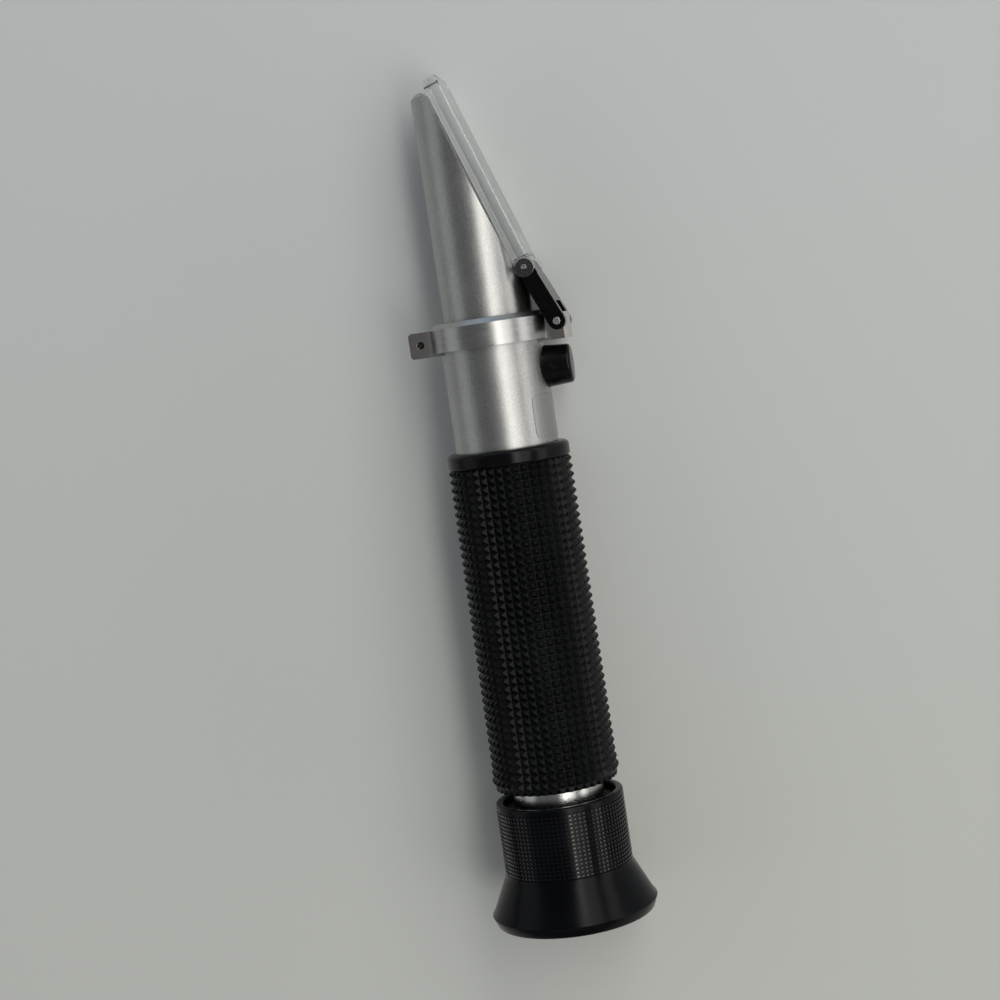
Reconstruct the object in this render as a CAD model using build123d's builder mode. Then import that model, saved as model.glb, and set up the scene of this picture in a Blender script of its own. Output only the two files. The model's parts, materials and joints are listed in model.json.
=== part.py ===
from build123d import *
import os
from math import atan, cos, radians, sin, tan

# Hand-held salinity refractometer, lying on its side. +X runs along the optical axis towards the prism,
# -Y is the hinge side and +Z is up. The origin is on the optical axis, midway along the bare barrel band.
# All sizes are in millimetres.

# Fits
press_gap = 0.02          # pressed, screwed or clamped together
running_gap = 0.06        # turns or slides in use
seat_gap = 0.25           # free space beside a moving face

# Stations along the axis that set the others
tube_front_x = 22.0
barrel_rear_x = -5.6
stop_x = -35.0
reticle_ledge_x = -65.0
neck_front_x = -77.0

# Prism housing: a round bar cut across at a shallow angle, with a flat nose
housing_r = 9.65
heel_setback = 5.4
face_length = 44.1
heel_x = tube_front_x + heel_setback
housing_nose_x = heel_x + face_length
face_angle = 18.9
light_bore_r = 5.6
nose_edge = 0.9
nose_corner_back = 1.7
nose_corner_down = 1.2
nose_corner_bulge = 0.35

# Measuring prism and the cement it is bedded in
prism_setback = 11.6
prism_rim = 5.5
prism_rear_x = heel_x + prism_setback
prism_front_x = housing_nose_x - prism_rim
prism_width = 11.0
prism_proud = 0.25
bedding = 0.7
pocket_wall = 2.95
prism_floor_y = housing_r - pocket_wall - bedding

# Main tube: bare barrel in front, grip seat in the middle, focusing thread behind
barrel_wall = 1.53
grip_step = 0.3
neck_step = 0.9
thread_step = 0.3
tube_front_bore_r = housing_r + press_gap
barrel_r = tube_front_bore_r + barrel_wall
grip_seat_r = barrel_r - grip_step
neck_r = grip_seat_r - neck_step
thread_r = neck_r - thread_step
thread_wall = 0.8
bore_step = 0.7
neck_length = 10.0
tube_rear_bore_r = thread_r - thread_wall
tube_bore_r = tube_rear_bore_r - bore_step
thread_front_x = neck_front_x - neck_length
thread_length = 10.5
tube_rear_x = thread_front_x - thread_length
tube_edge = 0.4

# Clamp ring with its split ears (+Y) and its hinge lug (-Y)
ring_wall = 1.88
ring_r = barrel_r + press_gap + ring_wall
ring_width = 5.0
ring_setback = 0.5
ring_front_x = tube_front_x - ring_setback
ring_rear_x = ring_front_x - ring_width
ring_bevel = 1.1
lug_overhang = 0.6
ear_reach = 4.3
lug_reach = 4.1
lug_rear_x = ring_rear_x - lug_overhang
ear_end_y = ring_r + ear_reach
ear_height = 7.6
ear_edge = 0.5
split_width = 0.9
lug_width = 8.2
lug_end_y = -ring_r - lug_reach
lug_bevel = 0.9
clamp_screw_x = (lug_rear_x + ring_front_x) / 2
clamp_screw_inset = 2.5
clamp_screw_y = ear_end_y - clamp_screw_inset
clamp_thread_r = 0.8
clamp_clear_r = 1.05
clamp_head_r = 1.9
clamp_head_h = 1.9
clamp_recess = 1.0
clamp_tip_inset = 1.9
clamp_hex = 0.75
clamp_hex_depth = 1.0
clamp_head_edge = 0.25

# Hinge of the daylight plate: lower pivot on the ring, upper pivot on the plate
link_eye_r = 1.85
lower_setback = 1.8
lower_x = ring_front_x - lower_setback
lower_y = lug_end_y + link_eye_r
upper_along = 4.2
upper_height = 1.85
knuckle_r = 1.8
fork_width = 14.4
fork_depth = 4.0
tongue_width = 12.0
link_pin_r = 0.6
plate_pin_r = 0.5
pin_head_r = 0.8
pin_head_h = 0.35

# Daylight plate: a clear sheet with two hinge ears
plate_gap = 0.3
plate_width = 16.0
plate_thick = 3.3
plate_overhang = 2.3
plate_ear_r = 2.25
plate_slot_end = 2.3
ear_gap = 0.1
plate_corner_r = 2.0
plate_edge = 0.25

# Calibration screw in its bush, under a pull-off cap
bush_r = 3.0
cap_wall = 1.59
cap_taper = 0.45
cap_clearance = 0.85
bush_reach = 3.9
bush_seat = 1.4
cap_base_r = bush_r + running_gap + cap_wall
cap_end_r = cap_base_r - cap_taper
cap_x = lug_rear_x - cap_clearance - cap_base_r
bush_end_y = -barrel_r - bush_reach
bush_root_y = -barrel_r + bush_seat
bush_edge = 0.3
screw_r = 1.0
screw_head_r = 1.7
screw_head_h = 1.9
screw_slot = 0.5
screw_slot_depth = 0.8
cap_top = 1.3
cap_end_y = bush_end_y - seat_gap - cap_top
cap_edge = 0.6

# Objective carriage, the bimetal leaf that corrects for temperature, and the lens cell on the leaf's end
carriage_gap = 0.77
carriage_rear = 3.5
carriage_front = 3.6
carriage_room = 5.4
housing_gap = 1.6
cell_gap = 1.0
leaf_flat = 1.3
carriage_r = tube_front_bore_r - carriage_gap
carriage_rear_x = cap_x - carriage_rear
carriage_front_x = cap_x + carriage_front
carriage_room_rear_x = carriage_rear_x - carriage_room
housing_rear_x = carriage_front_x + housing_gap
cell_r = tube_bore_r - cell_gap
leaf_y = cell_r - leaf_flat
leaf_thick = 0.5
leaf_width = 5.0
leaf_corner = 1.0
leaf_inset = 1.4
leaf_length = 20.8
leaf_front_x = carriage_front_x - leaf_inset
leaf_rear_x = leaf_front_x - leaf_length
carriage_wall = 1.1
carriage_bore_r = leaf_y - carriage_wall
screw_grip = 0.8
screw_tip_y = -carriage_bore_r - screw_grip
cell_overhang = 0.8
cell_rear_x = leaf_rear_x - cell_overhang
cell_length = 5.0
cell_wall = 1.3
cell_bore_r = leaf_y - cell_wall
cell_lip = 0.8
cell_lip_width = 0.6
cell_lip_r = cell_bore_r - cell_lip_width
objective_thick = 2.4
objective_crown = 0.7
cell_ring_length = 1.2
cell_ring_width = 0.7
cell_ring_bore_r = cell_bore_r - cell_ring_width
leaf_screw_r = 0.5
leaf_screw_head_r = 0.95
leaf_screw_head_h = 0.6
leaf_screw_depth = 0.9
leaf_screw_pitch = 2.6
leaf_screw_inset = 1.6

# Light stop and scale reticle inside the main tube
stop_thick = 1.0
stop_bore_r = 5.0
reticle_thick = 1.6
reticle_ring_length = 2.0
reticle_ring_width = 1.6
reticle_ring_bore_r = tube_rear_bore_r - reticle_ring_width

# Rubber grip: smooth lip in front, then square pads between grooves that run round and along it
grip_gap = 0.1
grip_front_x = barrel_rear_x - grip_gap
grip_lip = 2.45
grip_front = 2.6
grip_rear = 2.95
grip_end = 3.3
grip_lip_r = grip_seat_r + grip_lip
grip_front_r = grip_seat_r + grip_front
grip_rear_r = grip_seat_r + grip_rear
grip_end_r = grip_seat_r + grip_end
grip_lip_length = 3.0
grip_lip_edge = 1.1
grip_overhang = 3.3
grip_flare = 4.8
grip_rear_x = neck_front_x - grip_overhang
grip_flare_x = grip_rear_x + grip_flare
grip_end_edge = 1.6
pad_relief = 0.7
pad_pitch = 3.6
pad_rows = 20
pads_around = 22
pad_groove = 1.5
pad_front_x = grip_front_x - grip_lip_length - seat_gap

# Eyepiece: hard tube on the focusing thread. The lens stack sets where its lens room ends
shell_wall = 2.64
shell_r = thread_r + running_gap + shell_wall
shell_setback = 7.9
shell_front_x = neck_front_x - shell_setback
mouth_gap = 0.35
shell_mouth_r = neck_r + mouth_gap
shell_mouth_length = 5.2
shell_room = 3.5
shell_step_x = tube_rear_x - shell_room
lens_room_step = 1.1
lens_room_r = thread_r - lens_room_step
lens_setback = 2.4
lens_seat_front_x = tube_rear_x - lens_setback
shell_neck_wall = 1.0
shell_neck_r = lens_room_r + shell_neck_wall
shell_lip = 0.6
shell_lip_width = 0.7
shell_lip_r = lens_room_r - shell_lip_width

# Lenses of the eyepiece in their barrel
lens_barrel_wall = 0.94
lens_barrel_r = lens_room_r - running_gap
barrel_lens_r = lens_barrel_r - lens_barrel_wall
lens_seat_gap = 0.1
lens_barrel_front_x = lens_seat_front_x - lens_seat_gap
lens_ring_length = 0.44
field_lens_thick = 1.2
spacer_length = 0.6
eye_lens_thick = 2.0
eye_lens_crown = 0.5
lens_barrel_lip = 0.5
lens_ring_rear_x = lens_barrel_front_x - lens_ring_length
field_lens_rear_x = lens_ring_rear_x - field_lens_thick
spacer_rear_x = field_lens_rear_x - spacer_length
eye_lens_rear_x = spacer_rear_x - eye_lens_thick
lens_barrel_rear_x = eye_lens_rear_x - lens_barrel_lip
shell_rear_x = lens_barrel_rear_x - running_gap - shell_lip
lens_r = barrel_lens_r - press_gap
lens_lip_width = 0.6
lens_ring_width = 0.7
lens_barrel_lip_r = barrel_lens_r - lens_lip_width
spacer_bore_r = barrel_lens_r - lens_lip_width
lens_ring_bore_r = barrel_lens_r - lens_ring_width

# Rubber eyecup pushed over the shell: straight collar, flared cup and bevelled rim
cup_wall = 1.73
cup_r = shell_r + press_gap + cup_wall
cup_lap = 1.8
cup_front_x = shell_front_x + cup_lap
cup_rim_edge = 0.55
cup_root = 1.7
cup_flare_x = shell_step_x + cup_root
cup_reach = 4.8
cup_rim_width = 2.0
cup_rear_x = shell_rear_x - cup_reach
cup_widest_x = cup_rear_x + cup_rim_width
cup_flare = 4.25
cup_widest_r = cup_r + cup_flare
cup_land = 0.5
cup_rim_bevel = 0.9
cup_face_width = 0.8
cup_face_outer_r = cup_widest_r - cup_rim_bevel
cup_face_inner_r = cup_face_outer_r - cup_face_width
cup_floor_depth = 2.4
cup_floor_width = 1.8
cup_floor_x = shell_step_x - cup_floor_depth
cup_floor_r = shell_neck_r + cup_floor_width

slope = radians(face_angle)
# Plane of the measuring face: x along the slope to the nose, z outwards
face_plane = Plane(origin=(heel_x, -housing_r, 0), x_dir=(cos(slope), sin(slope), 0),
                   z_dir=(sin(slope), -cos(slope), 0))
upper_x = heel_x + upper_along * cos(slope) + upper_height * sin(slope)
upper_y = -housing_r + upper_along * sin(slope) - upper_height * cos(slope)
# Side view of the plate, seen from +Z: x along the slope, y outwards from the measuring face
side_plane = Plane(origin=(heel_x, -housing_r, 0), x_dir=(cos(slope), sin(slope), 0), z_dir=(0, 0, -1))
# Side view of the link, x from the lower pivot to the upper one, y outwards
link_length = ((upper_x - lower_x) ** 2 + (upper_y - lower_y) ** 2) ** 0.5
link_dir = ((upper_x - lower_x) / link_length, (upper_y - lower_y) / link_length, 0)
link_plane = Plane(origin=(lower_x, lower_y, 0), x_dir=link_dir, z_dir=(0, 0, -1))
plate_end = (housing_nose_x - heel_x) / cos(slope) + plate_overhang
far = 60.0


def crown_radius(half_width, crown):
    """Radius of a lens surface that rises by crown over half_width."""
    return (half_width ** 2 + crown ** 2) / (2 * crown)


def face_y(x):
    """Height of the measuring face's line above the station x."""
    return -housing_r + (x - heel_x) * tan(slope)


# Main tube
with BuildPart() as main_tube:
    with BuildSketch(Plane.XY):
        with BuildLine():
            Polyline(
                (tube_front_x, tube_front_bore_r), (tube_front_x, barrel_r - tube_edge),
                (tube_front_x - tube_edge, barrel_r), (barrel_rear_x, barrel_r),
                (barrel_rear_x, grip_seat_r), (neck_front_x, grip_seat_r), (neck_front_x, neck_r),
                (thread_front_x, neck_r), (thread_front_x, thread_r), (tube_rear_x + tube_edge, thread_r),
                (tube_rear_x, thread_r - tube_edge), (tube_rear_x, tube_rear_bore_r),
                (reticle_ledge_x, tube_rear_bore_r), (reticle_ledge_x, tube_bore_r),
                (carriage_room_rear_x, tube_bore_r), (carriage_room_rear_x, tube_front_bore_r), close=True)
        make_face()
    revolve(axis=Axis.X)
    with BuildSketch(Plane.XZ):
        with Locations((cap_x, 0)):
            Circle(bush_r + press_gap)
    extrude(amount=far, mode=Mode.SUBTRACT)
main_tube.part.label = "main_tube"

# Rounded corner where the measuring face's plane meets the nose
corner_start = (housing_nose_x - nose_corner_back * cos(slope),
                face_y(housing_nose_x) - nose_corner_back * sin(slope))
corner_end = (housing_nose_x, face_y(housing_nose_x) + nose_corner_down)
corner_middle = tuple((1 - nose_corner_bulge) * (start + end) / 2 + nose_corner_bulge * sharp
                      for start, end, sharp in zip(corner_start, corner_end, (housing_nose_x, face_y(housing_nose_x))))

# Prism housing, with a pocket for the bedded prism and the light path behind it
with BuildPart() as prism_housing:
    with BuildSketch(Plane.XY):
        with BuildLine():
            Polyline((housing_rear_x, 0), (housing_rear_x, housing_r), (housing_nose_x - nose_edge, housing_r),
                     (housing_nose_x, housing_r - nose_edge), (housing_nose_x, 0), close=True)
        make_face()
    revolve(axis=Axis.X)
    with BuildSketch(Plane.XY):
        with BuildLine():
            Polyline((heel_x - far, face_y(heel_x - far)), corner_start, corner_middle, corner_end,
                     (housing_nose_x + far, corner_end[1]), (housing_nose_x + far, -far), (heel_x - far, -far), close=True)
        make_face()
    extrude(amount=far / 2, both=True, mode=Mode.SUBTRACT)
    with BuildSketch(Plane.YZ.offset(housing_rear_x)):
        Circle(light_bore_r)
    extrude(amount=prism_rear_x - housing_rear_x, mode=Mode.SUBTRACT)
    with BuildSketch(Plane.XY):
        with BuildLine():
            Polyline((prism_rear_x, face_y(prism_rear_x) - far), (prism_rear_x, prism_floor_y + bedding),
                     (prism_front_x + bedding, prism_floor_y + bedding),
                     (prism_front_x + bedding, face_y(prism_front_x) - far), close=True)
        make_face()
    extrude(amount=prism_width / 2 + bedding, both=True, mode=Mode.SUBTRACT)
    with BuildSketch(Plane.XY):
        with Locations((upper_x, upper_y)):
            Circle(knuckle_r + seat_gap / 2)
    extrude(amount=tongue_width / 2 + seat_gap, both=True, mode=Mode.SUBTRACT)
prism_housing.part.label = "prism_housing"

# Measuring prism: its sloping face stands just proud of the housing's cut, its rear face looks down the tube
with BuildPart() as main_prism:
    with BuildSketch(Plane.XY):
        with BuildLine():
            Polyline((prism_rear_x, face_y(prism_rear_x) - prism_proud), (prism_rear_x, prism_floor_y),
                     (prism_front_x, prism_floor_y), (prism_front_x, face_y(prism_front_x) - prism_proud), close=True)
        make_face()
    extrude(amount=prism_width / 2, both=True)
main_prism.part.label = "main_prism"

# Cement that fills the pocket round the prism
with BuildPart() as prism_bedding:
    with BuildSketch(Plane.XY):
        with BuildLine():
            Polyline((prism_rear_x, face_y(prism_rear_x)), (prism_rear_x, prism_floor_y + bedding),
                     (prism_front_x + bedding, prism_floor_y + bedding),
                     (prism_front_x + bedding, face_y(prism_front_x + bedding)), close=True)
        make_face()
    extrude(amount=prism_width / 2 + bedding, both=True)
    with BuildSketch(Plane.XY):
        with BuildLine():
            Polyline((prism_rear_x, -far), (prism_rear_x, prism_floor_y),
                     (prism_front_x, prism_floor_y), (prism_front_x, -far), close=True)
        make_face()
    extrude(amount=prism_width / 2, both=True, mode=Mode.SUBTRACT)
    with BuildSketch(Plane.YZ.offset(prism_rear_x)):
        Circle(light_bore_r)
    extrude(amount=bedding, mode=Mode.SUBTRACT)
prism_bedding.part.label = "prism_bedding"

# Clamp ring: split ears with the clamp screw on one side, the hinge lug on the other
with BuildPart() as clamp_ring:
    with BuildSketch(Plane.XY):
        with BuildLine():
            Polyline((ring_rear_x, 0), (ring_rear_x, ring_r), (ring_front_x, ring_r),
                     (ring_front_x + ring_bevel, ring_r - ring_bevel), (ring_front_x + ring_bevel, 0), close=True)
        make_face()
    revolve(axis=Axis.X)
    with BuildSketch(Plane.XY):
        with BuildLine():
            Polyline((lug_rear_x, 0), (lug_rear_x, ear_end_y - ear_edge), (lug_rear_x + ear_edge, ear_end_y),
                     (ring_front_x - ear_edge, ear_end_y), (ring_front_x, ear_end_y - ear_edge),
                     (ring_front_x, 0), close=True)
        make_face()
    extrude(amount=ear_height / 2, both=True)
    with BuildSketch(Plane.YZ.offset(lug_rear_x)):
        with BuildLine():
            Polyline((0, lug_width / 2), (lug_end_y + lug_bevel, lug_width / 2), (lug_end_y, lug_width / 2 - lug_bevel),
                     (lug_end_y, lug_bevel - lug_width / 2), (lug_end_y + lug_bevel, -lug_width / 2),
                     (0, -lug_width / 2), close=True)
        make_face()
    extrude(amount=ring_front_x - lug_rear_x)
    with BuildSketch(Plane.YZ.offset(lug_rear_x)):
        Circle(barrel_r + press_gap)
    extrude(amount=2 * ring_width, mode=Mode.SUBTRACT)
    with BuildSketch(Plane.XY):
        with Locations((clamp_screw_x, far / 2)):
            Rectangle(far, far)
    extrude(amount=split_width / 2, both=True, mode=Mode.SUBTRACT)
    with BuildSketch(Plane.XY):
        with Locations((clamp_screw_x, clamp_screw_y)):
            Circle(clamp_thread_r)
    extrude(amount=ear_height, mode=Mode.SUBTRACT)
    with BuildSketch(Plane.XY):
        with Locations((clamp_screw_x, clamp_screw_y)):
            Circle(clamp_clear_r)
    extrude(amount=-ear_height, mode=Mode.SUBTRACT)
    with BuildSketch(Plane.XY.offset(-ear_height / 2)):
        with Locations((clamp_screw_x, clamp_screw_y)):
            Circle(clamp_head_r + seat_gap / 2)
    extrude(amount=clamp_recess, mode=Mode.SUBTRACT)
    with BuildSketch(Plane.XY):
        with Locations((lower_x, lower_y)):
            Circle(link_pin_r + running_gap)
    extrude(amount=lug_width, both=True, mode=Mode.SUBTRACT)
clamp_ring.part.label = "clamp_ring"

# Socket-head screw that pulls the ring's ears together, put in from below
with BuildPart() as clamp_screw:
    head_top = -ear_height / 2 + clamp_recess
    with BuildSketch(Plane.XY.offset(head_top)):
        with Locations((clamp_screw_x, clamp_screw_y)):
            Circle(clamp_head_r)
    extrude(amount=-clamp_head_h)
    chamfer(clamp_screw.faces().sort_by(Axis.Z)[0].edges(), length=clamp_head_edge)
    with BuildSketch(Plane.XY.offset(head_top)):
        with Locations((clamp_screw_x, clamp_screw_y)):
            Circle(clamp_thread_r - press_gap)
    extrude(amount=ear_height / 2 - clamp_tip_inset - head_top)
    with BuildSketch(Plane.XY.offset(head_top - clamp_head_h)):
        with Locations((clamp_screw_x, clamp_screw_y)):
            RegularPolygon(clamp_hex, 6, major_radius=False)
    extrude(amount=clamp_hex_depth, mode=Mode.SUBTRACT)
clamp_screw.part.label = "clamp_screw"

# Hinge link: a bar with a fork round the ring's lug and a narrower tongue between the plate's ears
with BuildPart() as hinge_link:
    with BuildSketch(link_plane):
        with BuildLine():
            Line((0, -link_eye_r), (link_length, -knuckle_r))
            ThreePointArc((link_length, -knuckle_r), (link_length + knuckle_r, 0), (link_length, knuckle_r))
            Line((link_length, knuckle_r), (0, link_eye_r))
            ThreePointArc((0, link_eye_r), (-link_eye_r, 0), (0, -link_eye_r))
        make_face()
    extrude(amount=fork_width / 2, both=True)
    # slot between the fork's arms
    with BuildSketch(link_plane):
        with Locations((fork_depth - far / 2, 0)):
            Rectangle(far, far)
    extrude(amount=lug_width / 2 + ear_gap, both=True, mode=Mode.SUBTRACT)
    # shoulders that leave the tongue between the plate's ears
    for side in (1, -1):
        with BuildSketch(link_plane.offset(side * tongue_width / 2)):
            with Locations((link_length - plate_ear_r - seat_gap + far / 2, 0)):
                Rectangle(far, far)
        extrude(amount=side * far, mode=Mode.SUBTRACT)
    with BuildSketch(link_plane):
        Circle(link_pin_r + press_gap)
        with Locations((link_length, 0)):
            Circle(plate_pin_r + running_gap)
    extrude(amount=fork_width, both=True, mode=Mode.SUBTRACT)
hinge_link.part.label = "hinge_link"

# Lower hinge pin, riveted through the fork
with BuildPart() as link_pin:
    with BuildSketch(Plane.XY):
        with Locations((lower_x, lower_y)):
            Circle(link_pin_r)
    extrude(amount=fork_width / 2, both=True)
    for side in (1, -1):
        with BuildSketch(Plane.XY.offset(side * fork_width / 2)):
            with Locations((lower_x, lower_y)):
                Circle(pin_head_r)
        extrude(amount=side * pin_head_h)
link_pin.part.label = "link_pin"

# Daylight plate, closed on the prism
with BuildPart() as daylight_plate:
    with BuildSketch(side_plane):
        with BuildLine():
            Polyline((upper_along, plate_gap), (plate_end, plate_gap), (plate_end, plate_gap + plate_thick),
                     (upper_along, plate_gap + plate_thick), close=True)
        make_face()
    extrude(amount=plate_width / 2, both=True)
    fillet(daylight_plate.edges().filter_by(Axis((0, 0, 0), face_plane.z_dir)).sort_by(Axis.X)[-2:],
           radius=plate_corner_r)
    chamfer(daylight_plate.faces().filter_by(Axis((0, 0, 0), face_plane.z_dir)).sort_by(Axis.Y)[0].edges(),
            length=plate_edge)
    with BuildSketch(side_plane):
        with Locations((upper_along, upper_height)):
            Circle(plate_ear_r)
    extrude(amount=plate_width / 2, both=True)
    # opening between the ears for the link's tongue
    with BuildSketch(side_plane):
        with Locations((upper_along + plate_slot_end - far / 2, 0)):
            Rectangle(far, far)
    extrude(amount=tongue_width / 2 + ear_gap, both=True, mode=Mode.SUBTRACT)
    with BuildSketch(side_plane):
        with Locations((upper_along, upper_height)):
            Circle(plate_pin_r + press_gap)
    extrude(amount=plate_width, both=True, mode=Mode.SUBTRACT)
daylight_plate.part.label = "daylight_plate"

# Upper hinge pin, through the ears and the tongue
with BuildPart() as plate_pin:
    with BuildSketch(Plane.XY):
        with Locations((upper_x, upper_y)):
            Circle(plate_pin_r)
    extrude(amount=plate_width / 2 - seat_gap, both=True)
plate_pin.part.label = "plate_pin"

# Bush of the calibration screw, pressed into the barrel
with BuildPart() as screw_bush:
    with BuildSketch(Plane.XZ.offset(-bush_root_y)):
        with Locations((cap_x, 0)):
            Circle(bush_r)
    extrude(amount=bush_root_y - bush_end_y)
    with BuildSketch(Plane.XZ.offset(-bush_end_y - screw_head_h - 2 * seat_gap)):
        with Locations((cap_x, 0)):
            Circle(screw_head_r + running_gap)
    extrude(amount=far, mode=Mode.SUBTRACT)
    with BuildSketch(Plane.XZ):
        with Locations((cap_x, 0)):
            Circle(screw_r + running_gap)
    extrude(amount=far, mode=Mode.SUBTRACT)
    chamfer(screw_bush.faces().sort_by(Axis.Y)[0].edges().sort_by(SortBy.LENGTH)[-1:], length=bush_edge)
screw_bush.part.label = "screw_bush"

# Slotted calibration screw
with BuildPart() as calibration_screw:
    head_y = bush_end_y + screw_head_h + seat_gap * 2
    with BuildSketch(Plane.XZ.offset(-head_y)):
        with Locations((cap_x, 0)):
            Circle(screw_head_r)
    extrude(amount=screw_head_h)
    with BuildSketch(Plane.XZ.offset(-screw_tip_y)):
        with Locations((cap_x, 0)):
            Circle(screw_r)
    extrude(amount=screw_tip_y - head_y)
    with BuildSketch(Plane.XZ.offset(-head_y + screw_head_h - screw_slot_depth)):
        with Locations((cap_x, 0)):
            Rectangle(far, screw_slot)
    extrude(amount=screw_slot_depth, mode=Mode.SUBTRACT)
calibration_screw.part.label = "calibration_screw"

# Cap over the calibration screw, saddled to the barrel
with BuildPart() as screw_cap:
    with BuildSketch(Plane.XY):
        with BuildLine():
            Polyline((cap_x, 0), (cap_x + cap_base_r, 0), (cap_x + cap_base_r, -barrel_r),
                     (cap_x + cap_end_r, cap_end_y), (cap_x, cap_end_y), close=True)
        make_face()
    revolve(axis=Axis((cap_x, 0, 0), (0, 1, 0)))
    chamfer(screw_cap.faces().sort_by(Axis.Y)[0].edges(), length=cap_edge)
    with BuildSketch(Plane.XZ):
        with Locations((cap_x, 0)):
            Circle(bush_r + running_gap)
    extrude(amount=-cap_end_y - cap_top, mode=Mode.SUBTRACT)
    with BuildSketch(Plane.YZ):
        Circle(barrel_r + running_gap)
    extrude(amount=far, mode=Mode.SUBTRACT)
screw_cap.part.label = "screw_cap"

# Carriage that the calibration screw moves across the tube
with BuildPart() as lens_carriage:
    with BuildSketch(Plane.YZ.offset(carriage_rear_x)):
        Circle(carriage_r)
        Circle(carriage_bore_r, mode=Mode.SUBTRACT)
        with Locations((leaf_y + far / 2, 0)):
            Rectangle(far, far, mode=Mode.SUBTRACT)
    extrude(amount=carriage_front_x - carriage_rear_x)
    with BuildSketch(Plane.XZ):
        with Locations((cap_x, 0)):
            Circle(screw_r + running_gap)
    extrude(amount=far, mode=Mode.SUBTRACT)
    carriage_screws_x = leaf_front_x - leaf_screw_inset
    with BuildSketch(Plane.XZ.offset(-leaf_y)):
        with Locations((carriage_screws_x, leaf_screw_pitch / 2), (carriage_screws_x, -leaf_screw_pitch / 2)):
            Circle(leaf_screw_r + press_gap)
    extrude(amount=leaf_screw_depth, mode=Mode.SUBTRACT)
lens_carriage.part.label = "lens_carriage"

# Cell of the objective lens
with BuildPart() as objective_cell:
    with BuildSketch(Plane.YZ.offset(cell_rear_x)):
        Circle(cell_r)
        Circle(cell_bore_r, mode=Mode.SUBTRACT)
        with Locations((leaf_y + far / 2, 0)):
            Rectangle(far, far, mode=Mode.SUBTRACT)
    extrude(amount=cell_length)
    with BuildSketch(Plane.YZ.offset(cell_rear_x)):
        Circle(cell_bore_r)
        Circle(cell_lip_r, mode=Mode.SUBTRACT)
    extrude(amount=cell_lip)
    cell_screws_x = leaf_rear_x + leaf_screw_inset
    with BuildSketch(Plane.XZ.offset(-leaf_y)):
        with Locations((cell_screws_x, leaf_screw_pitch / 2), (cell_screws_x, -leaf_screw_pitch / 2)):
            Circle(leaf_screw_r + press_gap)
    extrude(amount=leaf_screw_depth, mode=Mode.SUBTRACT)
objective_cell.part.label = "objective_cell"

# Bimetal leaf between the carriage and the cell
with BuildPart() as bimetal_leaf:
    with BuildSketch(Plane.XZ.offset(-leaf_y)):
        with Locations(((leaf_rear_x + leaf_front_x) / 2, 0)):
            RectangleRounded(leaf_front_x - leaf_rear_x, leaf_width, leaf_corner)
        for screws_x in (cell_screws_x, carriage_screws_x):
            with Locations((screws_x, leaf_screw_pitch / 2), (screws_x, -leaf_screw_pitch / 2)):
                Circle(leaf_screw_r + press_gap, mode=Mode.SUBTRACT)
    extrude(amount=-leaf_thick)
bimetal_leaf.part.label = "bimetal_leaf"

# The leaf's four small screws
with BuildPart() as leaf_screws:
    screw_places = [(screws_x, side * leaf_screw_pitch / 2)
                    for screws_x in (cell_screws_x, carriage_screws_x) for side in (1, -1)]
    with BuildSketch(Plane.XZ.offset(-leaf_y - leaf_thick)):
        with Locations(*screw_places):
            Circle(leaf_screw_head_r)
    extrude(amount=-leaf_screw_head_h)
    with BuildSketch(Plane.XZ.offset(-leaf_y - leaf_thick)):
        with Locations(*screw_places):
            Circle(leaf_screw_r)
    extrude(amount=leaf_thick + leaf_screw_depth)
leaf_screws.part.label = "leaf_screws"

# Objective lens, convex on both sides, against the cell's lip
objective_rear_x = cell_rear_x + cell_lip
objective_front_x = objective_rear_x + objective_thick
objective_r = cell_bore_r - press_gap
with BuildPart() as objective_lens:
    with BuildSketch(Plane.XY):
        with BuildLine():
            surface_r = crown_radius(objective_r, objective_crown)
            RadiusArc((objective_rear_x, 0), (objective_rear_x + objective_crown, objective_r), surface_r)
            Line((objective_rear_x + objective_crown, objective_r), (objective_front_x - objective_crown, objective_r))
            RadiusArc((objective_front_x - objective_crown, objective_r), (objective_front_x, 0), surface_r)
            Line((objective_front_x, 0), (objective_rear_x, 0))
        make_face()
    revolve(axis=Axis.X)
objective_lens.part.label = "objective_lens"

# Ring that holds the objective in its cell
with BuildPart() as objective_ring:
    with BuildSketch(Plane.YZ.offset(objective_rear_x + objective_thick)):
        Circle(cell_bore_r - press_gap)
        Circle(cell_ring_bore_r, mode=Mode.SUBTRACT)
    extrude(amount=cell_ring_length)
objective_ring.part.label = "objective_ring"

# Light stop, a blackened disc pressed into the tube
with BuildPart() as light_stop:
    with BuildSketch(Plane.YZ.offset(stop_x)):
        Circle(tube_bore_r - press_gap)
        Circle(stop_bore_r, mode=Mode.SUBTRACT)
    extrude(amount=stop_thick)
light_stop.part.label = "light_stop"

# Glass reticle with the scale, and the ring that holds it on its ledge
with BuildPart() as reticle:
    with BuildSketch(Plane.YZ.offset(reticle_ledge_x)):
        Circle(tube_rear_bore_r - press_gap)
    extrude(amount=-reticle_thick)
reticle.part.label = "reticle"

with BuildPart() as reticle_ring:
    with BuildSketch(Plane.YZ.offset(reticle_ledge_x - reticle_thick)):
        Circle(tube_rear_bore_r - press_gap)
        Circle(reticle_ring_bore_r, mode=Mode.SUBTRACT)
    extrude(amount=-reticle_ring_length)
reticle_ring.part.label = "reticle_ring"


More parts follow.
